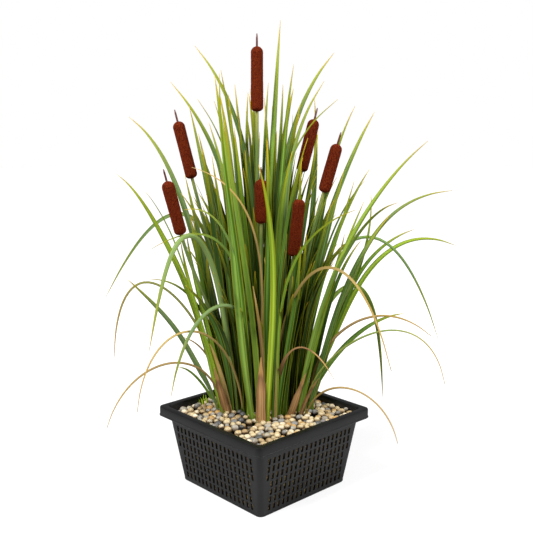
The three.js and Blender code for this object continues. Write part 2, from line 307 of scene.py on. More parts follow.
SOIL_LAYERS, CORNER_STEPS, SIDE_STEPS = 56, 12, 48
SOIL_GAP, SOIL_ROUGHNESS = 0.6, 1.3
rng = np.random.default_rng(11)
soil_rings = []
for height in np.linspace(FLOOR + SOIL_GAP, SOIL_TOP, SOIL_LAYERS):
    ring = square_ring(inner_half(height) - SOIL_GAP, height, CORNER - 2, steps=CORNER_STEPS)
    pieces = []
    for i, start in enumerate(ring):
        cuts = SIDE_STEPS if i % (CORNER_STEPS + 1) == CORNER_STEPS else 1
        share = np.linspace(0, 1, cuts, endpoint=False)[:, None]
        pieces.append(start + (ring[(i + 1) % len(ring)] - start) * share)
    fine = np.concatenate(pieces)
    outward = fine * [1, 1, 0] / np.linalg.norm(fine[:, :2], axis=1)[:, None]
    soil_rings.append(fine - outward * rng.uniform(0, SOIL_ROUGHNESS, len(fine))[:, None])
soil = add_mesh("soil_and_coir", *loft(soil_rings), loam)
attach(soil, "root")
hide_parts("soil")

# --- Stem and blade routes --------------------------------------------------
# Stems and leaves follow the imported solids: each solid is a chain of rings
# from its root to its tip, and the fine surface is grown along their middles.
ROOT_HEIGHT = 117


def read_rings(name, sides):
    """The rings of a stem or leaf solid with so many sides, root first, in millimetres."""
    body = bmesh.new()
    body.from_mesh(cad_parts[name].data)
    bmesh.ops.remove_doubles(body, verts=body.verts, dist=2e-6)
    ends = [v for v in body.verts if len(v.link_faces) == sides]
    root = min(ends, key=lambda v: abs(v.co.z - ROOT_HEIGHT * MM))
    seen, layer, rings = {root}, [root], []
    while len(seen) < len(body.verts):
        layer = {edge.other_vert(v) for v in layer for edge in v.link_edges} - seen
        layer = sorted(layer, key=lambda v: v.index)
        seen.update(layer)
        if len(layer) > 1:
            rings.append(np.array([v.co for v in layer]) / MM)
    body.free()
    return rings


def smooth_route(points, steps):
    """Points resampled along a smooth curve through them, evenly by length."""
    points = np.asarray(points, float)
    length = length_along(points)
    padded = np.vstack([2 * points[0] - points[1], points, 2 * points[-1] - points[-2]])
    at = np.linspace(0, length[-1], steps)
    index = np.clip(np.searchsorted(length, at, side="right") - 1, 0, len(points) - 2)
    t = ((at - length[index]) / (length[index + 1] - length[index]))[:, None]
    a, b, c, d = (padded[index + k] for k in range(4))
    return 0.5 * (2 * b + (c - a) * t + (2 * a - 5 * b + 4 * c - d) * t ** 2
                  + (3 * b - a - 3 * c + d) * t ** 3)


def unit(vectors):
    """The same directions at length 1."""
    return vectors / np.linalg.norm(vectors, axis=-1, keepdims=True)


def length_along(points):
    """Distance from the first point to each, along the line through them."""
    return np.r_[0, np.cumsum(np.linalg.norm(np.diff(points, axis=0), axis=1))]


# --- Flower stems -----------------------------------------------------------
# Seven round, pithy stems. Each carries its seed spike near the top and ends
# in the dry stalk of the male flower, which is brown.
STEM_SOLID_SIDES = 8
STEM_STEPS, STEM_SIDES = 90, 14

stem_skin, bark = start_material("cattail_stem_fresh")
# Smooth and waxy with about 26 fine ribs round it, grey-green, yellower towards
# the spike and red-brown in the bare tip.
uv = add_node(stem_skin, "UVMap", uv_map="along").outputs["UV"]
along_stem = add_node(stem_skin, "SeparateXYZ", {"Vector": uv})
ribs = add_node(stem_skin, "Mapping", {"Vector": uv, "Scale": (26, 5, 1)})
streak = add_node(stem_skin, "TexNoise", {"Vector": ribs.outputs["Vector"], "Scale": 1.0, "Detail": 4.0})
green = colour_ramp(stem_skin, streak.outputs["Fac"],
                    [(0.25, "3a5216"), (0.5, "5f7430"), (0.75, "8c9852")])
tanned = add_node(stem_skin, "MapRange", {"Value": along_stem.outputs["Y"], "From Min": 0.72,
                                          "From Max": 0.8, "To Max": 0.55})
dried = add_node(stem_skin, "MapRange", {"Value": along_stem.outputs["Y"], "From Min": 0.93,
                                         "From Max": 0.96})
below = add_node(stem_skin, "Mix", {"Factor": tanned.outputs["Result"], "A": green, "B": srgb("a39a52")},
                 data_type="RGBA")
above = add_node(stem_skin, "Mix", {"Factor": dried.outputs["Result"], "A": below.outputs["Result"],
                                    "B": srgb("4e1c12")}, data_type="RGBA")
link(stem_skin, above.outputs["Result"], bark.inputs["Base Color"])
ribbing = add_node(stem_skin, "Bump", {"Height": streak.outputs["Fac"], "Strength": 0.3,
                                       "Distance": 0.0006})
link(stem_skin, ribbing.outputs["Normal"], bark.inputs["Normal"])
bark.inputs["Roughness"].default_value = 0.45


def circle(sides, side, front):
    """Points of a circle of radius 1 in the plane of two directions."""
    turns = np.linspace(0, 2 * math.pi, sides, endpoint=False)
    return np.cos(turns)[:, None] * side + np.sin(turns)[:, None] * front


STEM_COUNT = 7
stem_axes = {}
for number in range(1, STEM_COUNT + 1):
    rings = read_rings(f"stem_{number}", STEM_SOLID_SIDES)
    middles = np.array([ring.mean(0) for ring in rings])
    widths = np.array([np.linalg.norm(ring - ring.mean(0), axis=1).mean() for ring in rings])
    route = smooth_route(middles, STEM_STEPS)
    length = length_along(middles)
    radius = np.interp(np.linspace(0, length[-1], STEM_STEPS), length, widths)
    radius[-1] *= 0.5
    forward = unit(np.gradient(route, axis=0))
    side = unit(np.cross(forward, [0.3, 1, 0.1]))
    front = np.cross(forward, side)
    rings = [route[i] + radius[i] * circle(STEM_SIDES, side[i], front[i]) for i in range(STEM_STEPS)]
    stem = add_mesh(f"flower_stem_{number}", *loft(rings), stem_skin)
    layer = stem.data.uv_layers.new(name="along")
    for loop in stem.data.loops:
        step, turn = divmod(loop.vertex_index, STEM_SIDES)
        layer.data[loop.index].uv = (turn / STEM_SIDES, step / (STEM_STEPS - 1))
    stem_axes[number] = (route, forward)
    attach(stem, "root")
    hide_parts(f"stem_{number}")

# --- Seed spikes ------------------------------------------------------------
# Thousands of packed seeds stand out from the stem like a bottle brush. Their
# brown tips make a dense velvet skin with small pits and lumps.
SPIKE_SIDES, SPIKE_STEPS = 72, 120
FOOT_ROUND, HEAD_ROUND = 9, 11
FUZZ = 0.035

velvet, nap = start_material("cattail_seed_velvet")
# Matt brown, with a painted shade in the pits: the colour is darkest where the bump is lowest. A
# rust-coloured bloom
#  shows where the seed tips catch the light edge on. The lumps are 2.6 mm across. The seed tips are
#  drawn 0.9 mm coarse, three times the real ones, so that they show.
place = add_node(velvet, "TexCoord").outputs["Object"]
lumps = add_node(velvet, "TexNoise", {"Vector": place, "Scale": 380.0, "Detail": 4.0, "Roughness": 0.6})
tips = add_node(velvet, "TexVoronoi", {"Vector": place, "Scale": 1100.0})
speck = add_node(velvet, "Math", {0: lumps.outputs["Fac"], 1: 0.75, 2: tips.outputs["Distance"]},
                 operation="MULTIPLY_ADD")
# The pits of the bump are painted darker here, a painted shade.
link(velvet, colour_ramp(velvet, speck.outputs[0],
                         [(0.4, "220602"), (0.7, "3e0d03"), (0.9, "501204"), (1.0, "682a10")]),
     nap.inputs["Base Color"])
pile = add_node(velvet, "Bump", {"Height": speck.outputs[0], "Strength": 0.7, "Distance": 0.0008})
link(velvet, pile.outputs["Normal"], nap.inputs["Normal"])
nap.inputs["Roughness"].default_value = 0.95
nap.inputs["Specular IOR Level"].default_value = 0.05
nap.inputs["Sheen Weight"].default_value = 0.3
nap.inputs["Sheen Roughness"].default_value = 0.3
nap.inputs["Sheen Tint"].default_value = srgb("d0380c")

for number in range(1, STEM_COUNT + 1):
    corners = np.array([v.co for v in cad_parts[f"spike_{number}"].data.vertices]) / MM
    route, forward = stem_axes[number]
    inside = route[np.argmin(np.linalg.norm(route - corners.mean(0), axis=1))]
    axis = forward[np.argmin(np.linalg.norm(route - inside, axis=1))]
    heights = (corners - inside) @ axis
    low, length = heights.min(), np.ptp(heights)
    radius = np.linalg.norm(corners - inside - np.outer(heights, axis), axis=1).max()
    side = unit(np.cross(axis, [0.2, 1, 0.3]))
    front = np.cross(axis, side)
    rng = np.random.default_rng(40 + number)
    rings = []
    for step in range(SPIKE_STEPS):
        # Steps are closer together at the rounded ends.
        even = step / (SPIKE_STEPS - 1)
        share = 0.65 * even + 0.35 * (0.5 - 0.5 * math.cos(math.pi * even))
        foot = min(1, share * length / FOOT_ROUND)
        head = min(1, (1 - share) * length / HEAD_ROUND)
        dome = math.sqrt(max(0.03, 1 - (1 - foot) ** 2.4)) * math.sqrt(max(0.03, 1 - (1 - head) ** 2))
        swell = 0.985 + 0.02 * math.sin(5 * share + number)
        out = radius * dome * swell * (1 - rng.uniform(0, FUZZ, SPIKE_SIDES))
        centre = inside + axis * (low + share * length)
        rings.append(centre + out[:, None] * circle(SPIKE_SIDES, side, front))
    spike = add_mesh(f"seed_spike_{number}", *loft(rings), velvet)
    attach(spike, "root")
    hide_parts(f"spike_{number}")

# --- Green leaves -----------------------------------------------------------
# Long strap leaves, spongy and thick at the foot and thin above, with fine
# parallel veins and a slightly rolled, yellow edge. They stand in fans round
# the stems, and the outer ones arch over.
SOLID_LEAF_SIDES = 4
BLADE_STEPS, BLADE_SIDES = 56, 12
GUTTER = 0.16


def blade_section(sides):
    """Across and through of a leaf's lens-shaped section, each from -1 to 1."""
    turns = np.linspace(0, 2 * math.pi, sides, endpoint=False)
    return np.sign(np.cos(turns)) * np.abs(np.cos(turns)) ** 0.8, np.sin(turns)


def blade_rings(route, across, width, thickness, gutter, sides):
    """Rings of a leaf along its route. The gutter is a share of the width."""
    forward = unit(np.gradient(route, axis=0))
    across = unit(across - (across * forward).sum(1)[:, None] * forward)
    through = np.cross(across, forward)
    shape_x, shape_y = blade_section(sides)
    rings = []
    for i in range(len(route)):
        x = shape_x * width[i] / 2
        y = shape_y * thickness[i] / 2 + gutter * (shape_x ** 2 - 0.4) * width[i]
        rings.append(route[i] + x[:, None] * across[i] + y[:, None] * through[i])
    return rings


def strap(place):
    """Width of a leaf at each place from root to tip, as a share of its widest."""
    return (1 - place ** 4.5) * np.minimum(1, 0.7 + place)


def read_leaf(name):
    """Route, across direction, widest and thickness of a packed leaf, at even steps."""
    middles, acrosses, widths, depths = [], [], [], []
    for ring in read_rings(name, SOLID_LEAF_SIDES):
        far = unit(ring - ring.mean(0))
        partner = int(np.argmin(far @ far[0]))
        others = [i for i in range(SOLID_LEAF_SIDES) if i not in (0, partner)]
        spans = [ring[partner] - ring[0], ring[others[1]] - ring[others[0]]]
        if acrosses:
            spans.sort(key=lambda span: -abs(np.dot(unit(span), acrosses[-1])))
        else:
            spans.sort(key=lambda span: -np.linalg.norm(span))
        wide, deep = spans
        if acrosses and np.dot(wide, acrosses[-1]) < 0:
            wide = -wide
        middles.append(ring.mean(0))
        acrosses.append(unit(wide))
        widths.append(np.linalg.norm(wide))
        depths.append(np.linalg.norm(deep))
    length = length_along(middles)
    at = np.linspace(0, length[-1], BLADE_STEPS)
    across = np.stack([np.interp(at, length, np.array(acrosses)[:, k]) for k in range(3)], axis=1)
    widest = np.interp(at, length, widths).max()
    return smooth_route(middles, BLADE_STEPS), unit(across), widest, np.interp(at, length, depths)


def finish_leaf(mesh, tones, sides, steps):
    """Gives a mesh of one or more leaves its across-and-along coordinates and each leaf's tone.

    A tone is the leaf's shade, its bloom, and a random shift of its pattern."""
    count = sides * steps
    layer = mesh.uv_layers.new(name="along")
    index = np.empty(len(mesh.loops), np.int32)
    mesh.loops.foreach_get("vertex_index", index)
    leaf, rest = np.divmod(index, count)
    step, turn = np.divmod(rest, sides)
    across = 0.5 + 0.5 * blade_section(sides)[0][turn]
    coordinates = np.stack([across, step / (steps - 1)], axis=1)
    layer.data.foreach_set("uv", coordinates.astype(np.float32).ravel())
    tone = mesh.attributes.new("tone", "FLOAT_VECTOR", "POINT")
    tone.data.foreach_set("vector", np.repeat(np.asarray(tones, np.float32), count, axis=0).ravel())


def leaf_material(name, shades, veins, bloom, edge, tip, foot, tip_starts):
    """A leaf skin. shades and veins run from the darkest leaf to the brightest, as ramp stops.

    A vein is a fifth of the blade's width, coarser than a real one so that it shows."""
    material, skin = start_material(name)
    uv = add_node(material, "UVMap", uv_map="along").outputs["UV"]
    tone = add_node(material, "Attribute", attribute_name="tone")
    own = add_node(material, "SeparateXYZ", {"Vector": tone.outputs["Vector"]})
    where = add_node(material, "SeparateXYZ", {"Vector": uv})
    shift = add_node(material, "VectorMath", {0: uv, 1: tone.outputs["Vector"]}, operation="ADD")
    lines = add_node(material, "Mapping", {"Vector": shift.outputs["Vector"], "Scale": (5.5, 0.8, 60)})
    fine = add_node(material, "TexNoise", {"Vector": lines.outputs["Vector"], "Scale": 1.0, "Detail": 3.0})
    bands = add_node(material, "Mapping", {"Vector": shift.outputs["Vector"], "Scale": (2.6, 2.4, 40)})
    broad = add_node(material, "TexNoise", {"Vector": bands.outputs["Vector"], "Scale": 1.0, "Detail": 2.0})
    middle = add_node(material, "Math", {0: where.outputs["X"], 1: 0.5}, operation="SUBTRACT")
    outward = add_node(material, "Math", {0: middle.outputs[0]}, operation="ABSOLUTE")
    wander = add_node(material, "Math", {0: broad.outputs["Fac"], 1: 0.5, 2: -0.25}, operation="MULTIPLY_ADD")
    shade = add_node(material, "Math", {0: own.outputs["X"], 1: wander.outputs[0]}, operation="ADD")
    base = colour_ramp(material, shade.outputs[0], shades)
    vein = colour_ramp(material, shade.outputs[0], veins)
    streaks = add_node(material, "MapRange", {"Value": fine.outputs["Fac"], "From Min": 0.4, "From Max": 0.62,
                                              "To Max": 0.7})
    pale_middle = add_node(material, "MapRange", {"Value": outward.outputs[0], "From Min": 0.0,
                                                  "From Max": 0.34, "To Min": 0.5, "To Max": 0.0})
    amount = add_node(material, "Math", {0: streaks.outputs["Result"], 1: pale_middle.outputs["Result"]},
                      operation="ADD", use_clamp=True)
    body = add_node(material, "Mix", {"Factor": amount.outputs[0], "A": base, "B": vein},
                    data_type="RGBA").outputs["Result"]
    waxy = add_node(material, "Math", {0: own.outputs["Y"], 1: broad.outputs["Fac"]}, operation="MULTIPLY")
    rim = add_node(material, "MapRange", {"Value": outward.outputs[0], "From Min": 0.36, "From Max": 0.5,
                                          "To Max": 0.65})
    ragged = add_node(material, "Math", {0: broad.outputs["Fac"], 1: 0.16, 2: where.outputs["Y"]},
                      operation="MULTIPLY_ADD")
    yellowed = add_node(material, "MapRange", {"Value": ragged.outputs[0], "From Min": tip_starts - 0.06,
                                               "From Max": tip_starts + 0.13, "To Max": 0.75})
    withered = add_node(material, "MapRange", {"Value": ragged.outputs[0], "From Min": tip_starts + 0.11,
                                               "From Max": tip_starts + 0.18})
    footed = add_node(material, "MapRange", {"Value": where.outputs["Y"], "From Min": 0.0, "From Max": 0.12,
                                             "To Min": 0.5, "To Max": 0.0})
    for factor, colour in ((waxy.outputs[0], bloom), (rim.outputs["Result"], edge),
                           (yellowed.outputs["Result"], edge), (withered.outputs["Result"], tip),
                           (footed.outputs["Result"], foot)):
        body = add_node(material, "Mix", {"Factor": factor, "A": body, "B": srgb(colour)},
                        data_type="RGBA").outputs["Result"]
    link(material, body, skin.inputs["Base Color"])
    ridges = add_node(material, "Bump", {"Height": fine.outputs["Fac"], "Strength": 0.35, "Distance": 0.0006})
    link(material, ridges.outputs["Normal"], skin.inputs["Normal"])
    return material, skin


def faced(route, across, facing, tilt):
    """Turns a blade from its packed direction at the root until its flat side looks at an azimuth."""
    forward = unit(np.gradient(route, axis=0))
    look = np.array([math.cos(facing) * math.cos(tilt), math.sin(facing) * math.cos(tilt), math.sin(tilt)])
    wanted = unit(np.cross(forward, look) + 1e-6 * across)
    if np.dot(wanted[2], across[2]) < 0:
        wanted = -wanted
    blend = np.clip(np.linspace(0, 1, len(route)) / TURNED_BY, 0, 1)[:, None]
    return unit(across * (1 - blend) + wanted * blend)


BEST_SIDE = math.radians(227)
TURNED_BY = 0.3

blade_green, wax = leaf_material(
    "cattail_leaf_waxy_green",
    [(0.0, "080f02"), (0.25, "172a08"), (0.5, "2c4a10"), (0.75, "4c6c10"), (1.0, "6e8010")],
    [(0.0, "182808"), (0.25, "38561c"), (0.5, "608434"), (0.75, "86a638"), (1.0, "a4b43c")],
    "7c8a66", "8f9016", "b09028", "5c6a14", 0.9)
# A waxy skin over parallel veins: half gloss, paler along the middle, with a
# grey bloom on some leaves, yellow edges, and the last of the tip dried out.
wax.inputs["Roughness"].default_value = 0.48
wax.inputs["Specular IOR Level"].default_value = 0.06

# Shade and bloom of each leaf, from 0 to 1, and its width as a share of the solid's.
TALL_TONES = [(0.72, 0.3, 0.9), (0.6, 0.1, 0.9), (0.42, 0.4, 0.85), (0.5, 0.6, 0.9), (0.38, 0.1, 0.9),
              (0.36, 0.3, 0.85), (0.4, 0.3, 0.9), (0.42, 0.2, 0.9), (0.62, 0.0, 0.9), (0.5, 0.7, 0.85),
              (0.35, 0.0, 0.9), (0.55, 0.4, 0.85), (0.45, 0.1, 0.9)]
ARCHING_TONES = [(0.8, 0.2, 0.85), (0.5, 0.7, 0.6), (0.85, 0.0, 0.75), (0.68, 0.0, 0.8), (0.5, 0.5, 0.75),
                 (0.8, 0.3, 1.0), (0.62, 0.2, 0.85), (0.48, 0.8, 0.85), (0.88, 0.0, 0.8), (0.5, 0.7, 0.85),
                 (0.7, 0.9, 0.85), (0.42, 0.8, 0.7), (0.4, 0.8, 0.8), (0.4, 0.2, 0.8)]
SWAY = 2.2
place = np.linspace(0, 1, BLADE_STEPS)
rng = np.random.default_rng(7)
for kind, slot, tones in (("tall_leaf", "dark_blade", TALL_TONES),
                          ("arching_leaf", "light_blade", ARCHING_TONES)):
    for number, (shade, bloom, share) in enumerate(tones, start=1):
        route, across, widest, depth = read_leaf(f"{kind}_{number}")
        if kind == "arching_leaf":
            across = faced(route, across, BEST_SIDE + rng.normal(0, 0.35), rng.uniform(0.1, 0.6))
        sway = SWAY * np.sin(2 * math.pi * (1.3 * place + rng.random())) * np.sin(math.pi * place)
        route = route + across * sway[:, None]
        width = widest * share * strap(place) * (1 + 0.04 * np.sin(9 * place + number)) + 0.5
        depth = np.minimum(depth, np.interp(place, [0, 0.3, 1], [4.4, 1.8, 0.7]))
        rings = blade_rings(route, across, width, depth, GUTTER, BLADE_SIDES)
        leaf = add_mesh(f"{kind}_{number}_blade", *loft(rings), blade_green)
        finish_leaf(leaf.data, [(shade, bloom, rng.random())], BLADE_SIDES, BLADE_STEPS)
        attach(leaf, "root")
        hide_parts(f"{kind}_{number}")

# --- Dry leaves and sheaths -------------------------------------------------
# Last year's leaves: thin and stiff, bleached to straw, arching out of the
# foot of the clump, with the torn papery sheaths that they grew from.
blade_straw, paper = leaf_material(
    "cattail_leaf_dried_straw",
    [(0.0, "465e14"), (0.3, "5c421a"), (0.6, "74582a"), (1.0, "8c7238")],
    [(0.0, "74902e"), (0.3, "86683a"), (0.6, "a08444"), (1.0, "b4985c")],
    "9c9650", "9a7c2c", "a88a4c", "665c24", 0.8)
# Dull and fibrous, from olive or brown near the foot to bleached tan.
paper.inputs["Roughness"].default_value = 0.7
sheath_straw, husk = leaf_material(
    "cattail_sheath_papery",
    [(0.0, "2c1808"), (0.5, "5c3614"), (1.0, "8a5c2a")],
    [(0.0, "7a5430"), (0.5, "b08450"), (1.0, "cca670")],
    "b8935c", "5c3a1a", "9c7440", "5c3a1a", 0.7)
# Papery and creased, light brown, with darker long fibres.
husk.inputs["Roughness"].default_value = 0.8

DRY_TONES = [0.75, 0.45, 0.0, 0.75, 0.1, 0.7, 0.45]
SHEATH_TONES = [0.7, 0.35, 0.75, 0.5, 0.75]
ARCHED_SHEATH = 2
for kind, slot, tones, skin in (("dry_leaf", "straw", DRY_TONES, blade_straw),
                                ("dry_sheath", "dry_sheath", SHEATH_TONES, sheath_straw)):
    for number, shade in enumerate(tones, start=1):
        route, across, widest, depth = read_leaf(f"{kind}_{number}")
        across = faced(route, across, BEST_SIDE + rng.normal(0, 0.3), rng.uniform(0.1, 0.6))
        if kind == "dry_leaf":
            crease, taper = 0.05, 0.5 * (1 - place ** 5) + 0.14
        elif number == ARCHED_SHEATH:
            crease = 0.08
            taper = np.interp(place, [0, 0.12, 0.34, 0.5, 0.85, 1], [0.9, 1.05, 0.75, 0.32, 0.2, 0.05])
        else:
            crease = 0.12
            taper = np.interp(place, [0, 0.2, 0.5, 0.8, 1], [0.75, 1, 0.85, 0.45, 0.06])
        width = widest * taper * (1 + 0.06 * np.sin(11 * place + number))
        depth = np.minimum(depth, np.interp(place, [0, 0.3, 1], [3.6, 1.3, 0.6]))
        rings = blade_rings(route, across, width, depth, crease, BLADE_SIDES)
        leaf = add_mesh(f"{kind}_{number}_blade", *loft(rings), skin)
        finish_leaf(leaf.data, [(shade, rng.uniform(0, 0.4), rng.random())], BLADE_SIDES, BLADE_STEPS)
        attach(leaf, "root")
        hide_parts(f"{kind}_{number}")

# --- Inner leaves -----------------------------------------------------------
# The many other leaves of the clump, in four tufts. Each of those that show has
#  a row of its own. The rest fill its heart and back, turned by the golden
#  angle from one to the next. They are coloured darker towards the heart and front of the clump, a painted
#  shade of the dense clump.
CLUMP = np.array([30, 30, 0])
ACROSS = np.array([math.cos(CAMERA_TURN), -math.sin(CAMERA_TURN), 0])
AWAY = np.array([math.sin(CAMERA_TURN), math.cos(CAMERA_TURN), 0])
INNER_STEPS, INNER_SIDES = 40, 10
INNER_ROOT = ROOT_HEIGHT + 4
HEART_LEAVES, HEART_RADIUS = 150, 74
TUFTS = 4
GOLDEN_ANGLE = math.radians(137.508)

# Width, shade and bloom of a leaf, and then its root, rise, bow and tip. These
# are distances from the middle of the clump: to the right as its best side is
# seen, away behind it, and, apart from the root, up from the ground.
SHOWN_LEAVES = [
    (13, 0.68, 0.3, (-20, -70), (-55, -70, 330), (-55, -65, 545), (-85, -60, 750)),
    (13, 0.76, 0.2, (-10, -60), (-10, -60, 305), (-50, -55, 490), (-70, -50, 675)),
    (11, 0.88, 0.0, (5, -88), (10, -90, 285), (35, -85, 445), (-10, -80, 600)),
    (12, 0.45, 0.3, (55, 40), (65, 50, 320), (110, 70, 515), (95, 80, 715)),
    (11, 0.4, 0.2, (65, 30), (100, 30, 305), (85, 45, 530), (170, 60, 700)),
    (8, 0.6, 0.1, (55, -10), (65, -10, 275), (125, -5, 420), (165, 0, 565)),
    (10, 0.5, 0.2, (60, 0), (85, 0, 275), (110, 10, 455), (195, 20, 585)),
    (7, 0.7, 0.0, (70, -25), (90, -25, 260), (125, -25, 400), (180, -30, 530)),
    (6, 0.6, 0.0, (90, -20), (95, -20, 265), (205, -15, 390), (195, -10, 540)),
    (6, 0.72, 0.0, (20, -65), (35, -65, 260), (-10, -70, 460), (160, -75, 520)),
    (6, 0.35, 0.0, (15, -75), (20, -75, 295), (20, -80, 480), (75, -85, 645)),
    (11, 0.55, 0.1, (-20, 10), (-15, 10, 340), (-40, 25, 550), (-80, 40, 765)),
    (10, 0.5, 0.1, (-10, 30), (-5, 30, 330), (-35, 45, 535), (-55, 60, 740)),
    (10, 0.5, 0.3, (-5, 35), (10, 35, 325), (-45, 40, 525), (-30, 50, 725)),
    (10, 0.65, 0.0, (0, 40), (-10, 40, 320), (20, 50, 520), (0, 60, 715)),
    (10, 0.5, 0.4, (5, 40), (-5, 40, 330), (30, 55, 535), (35, 70, 740)),
    (10, 0.7, 0.0, (-20, 0), (-15, 0, 300), (-35, 5, 485), (-55, 10, 660)),
    (12, 0.55, 0.6, (-25, -20), (-25, -20, 305), (-45, -10, 495), (-100, 0, 670)),
    (6, 0.3, 0.0, (-65, -10), (-80, -10, 200), (-95, -15, 385), (-210, -20, 385)),
    (5, 0.6, 0.3, (-25, -50), (-40, -50, 220), (10, -60, 575), (-200, -70, 450)),
    (5, 0.5, 0.4, (-20, -55), (-30, -50, 160), (-10, -70, 550), (-140, -75, 520)),
    (5, 0.65, 0.0, (-100, 20), (-95, 20, 140), (-140, 15, 210), (-165, 10, 205)),
    (9, 0.3, 0.3, (-50, -20), (-85, -20, 260), (-60, -25, 430), (-150, -30, 545)),
    (11, 0.45, 0.2, (10, 40), (20, 40, 305), (5, 55, 505), (45, 80, 685)),
    (11, 0.7, 0.1, (15, -40), (30, -40, 285), (10, -35, 460), (50, -30, 620)),
    (12, 0.3, 0.5, (-40, -30), (-65, -30, 320), (-40, -25, 530), (-80, -20, 725)),
    (12, 0.25, 0.1, (-45, -35), (-75, -35, 290), (-85, -35, 455), (-110, -40, 625)),
    (10, 0.35, 0.1, (-35, -30), (-60, -30, 280), (-65, -35, 435), (-90, -40, 595)),
    (10, 0.3, 0.0, (35, -50), (50, -50, 285), (60, -55, 445), (65, -60, 605)),
    (11, 0.4, 0.3, (60, -20), (70, -20, 280), (105, -15, 435), (145, -10, 585)),
    (11, 0.75, 0.3, (65, -40), (80, -40, 240), (110, -40, 360), (160, -40, 470)),
    (10, 0.5, 0.4, (80, -30), (115, -30, 250), (140, -25, 405), (230, -20, 505)),
    (9, 0.45, 0.0, (75, -10), (105, -10, 225), (110, -5, 370), (180, 0, 455)),
    (12, 0.15, 0.2, (-60, -30), (-70, -30, 225), (-100, -35, 330), (-105, -40, 435)),
    (10, 0.6, 0.0, (-65, -10), (-80, -10, 245), (-120, -10, 370), (-135, -10, 500)),
    (9, 0.8, 0.0, (-75, -35), (-115, -35, 245), (-130, -45, 450), (-210, -55, 550)),
    (9, 0.45, 0.0, (25, -60), (30, -60, 230), (60, -65, 345), (65, -70, 455)),
    (9, 0.25, 0.0, (30, -55), (35, -55, 240), (70, -60, 355), (75, -65, 475)),
    (11, 0.4, 0.1, (-10, 0), (-5, 0, 285), (-25, 5, 455), (-35, 10, 620)),
    (12, 0.4, 0.5, (-45, -10), (-55, -10, 295), (-80, 0, 475), (-120, 10, 650)),
    (12, 0.3, 0.2, (10, 10), (25, 10, 310), (15, 25, 500), (65, 40, 685)),
    (11, 0.3, 0.2, (35, 0), (40, 0, 305), (75, 15, 480), (100, 30, 655)),
    (10, 0.5, 0.1, (45, -10), (60, -10, 255), (90, 5, 390), (125, 20, 520)),
    (11, 0.35, 0.3, (-20, 10), (-25, 10, 320), (-45, 15, 520), (-65, 20, 720)),
    (12, 0.35, 0.5, (-55, -20), (-75, -20, 275), (-110, -10, 425), (-145, 0, 575)),
    (11, 0.45, 0.2, (-25, 0), (-30, 0, 320), (-55, 10, 510), (-85, 20, 700)),
    (10, 0.5, 0.1, (-5, 20), (-10, 20, 320), (-25, 30, 510), (-50, 40, 690)),
    (11, 0.5, 0.2, (5, 25), (10, 25, 320), (15, 40, 520), (15, 50, 700)),
    (10, 0.4, 0.1, (25, 20), (30, 20, 310), (35, 30, 490), (60, 45, 670)),
    (11, 0.3, 0.3, (-40, -15), (-50, -15, 290), (-70, -10, 450), (-95, -5, 610)),
    (9, 0.55, 0.1, (70, -20), (100, -20, 200), (165, -20, 310), (260, -20, 320)),
    (9, 0.75, 0.0, (-70, -35), (-85, -35, 240), (-125, -40, 355), (-140, -45, 475)),
    (9, 0.6, 0.0, (-65, -25), (-90, -25, 250), (-105, -30, 380), (-130, -35, 505)),
    (8, 0.85, 0.0, (-75, -45), (-90, -45, 240), (-135, -50, 345), (-150, -55, 465)),
    (10, 0.6, 0.4, (-30, 10), (-45, 10, 290), (-60, 15, 455), (-85, 20, 620)),
    (10, 0.5, 0.2, (70, 0), (80, 0, 240), (125, 5, 350), (150, 10, 465)),
    (10, 0.6, 0.3, (40, 15), (55, 15, 280), (90, 20, 430), (120, 30, 585)),
]


def bezier(corners, steps):
    """Points along a cubic curve with four corners."""
    t = np.linspace(0, 1, steps)[:, None]
    a, b, c, d = (np.asarray(p, float) for p in corners)
    return (1 - t) ** 3 * a + 3 * t * (1 - t) ** 2 * b + 3 * t ** 2 * (1 - t) * c + t ** 3 * d


def row_route(root, *rest):
    """The route of a leaf from its row."""
    corners = [(*root, INNER_ROOT), *rest]
    return bezier([CLUMP + x * ACROSS + y * AWAY + z * UP for x, y, z in corners], INNER_STEPS)


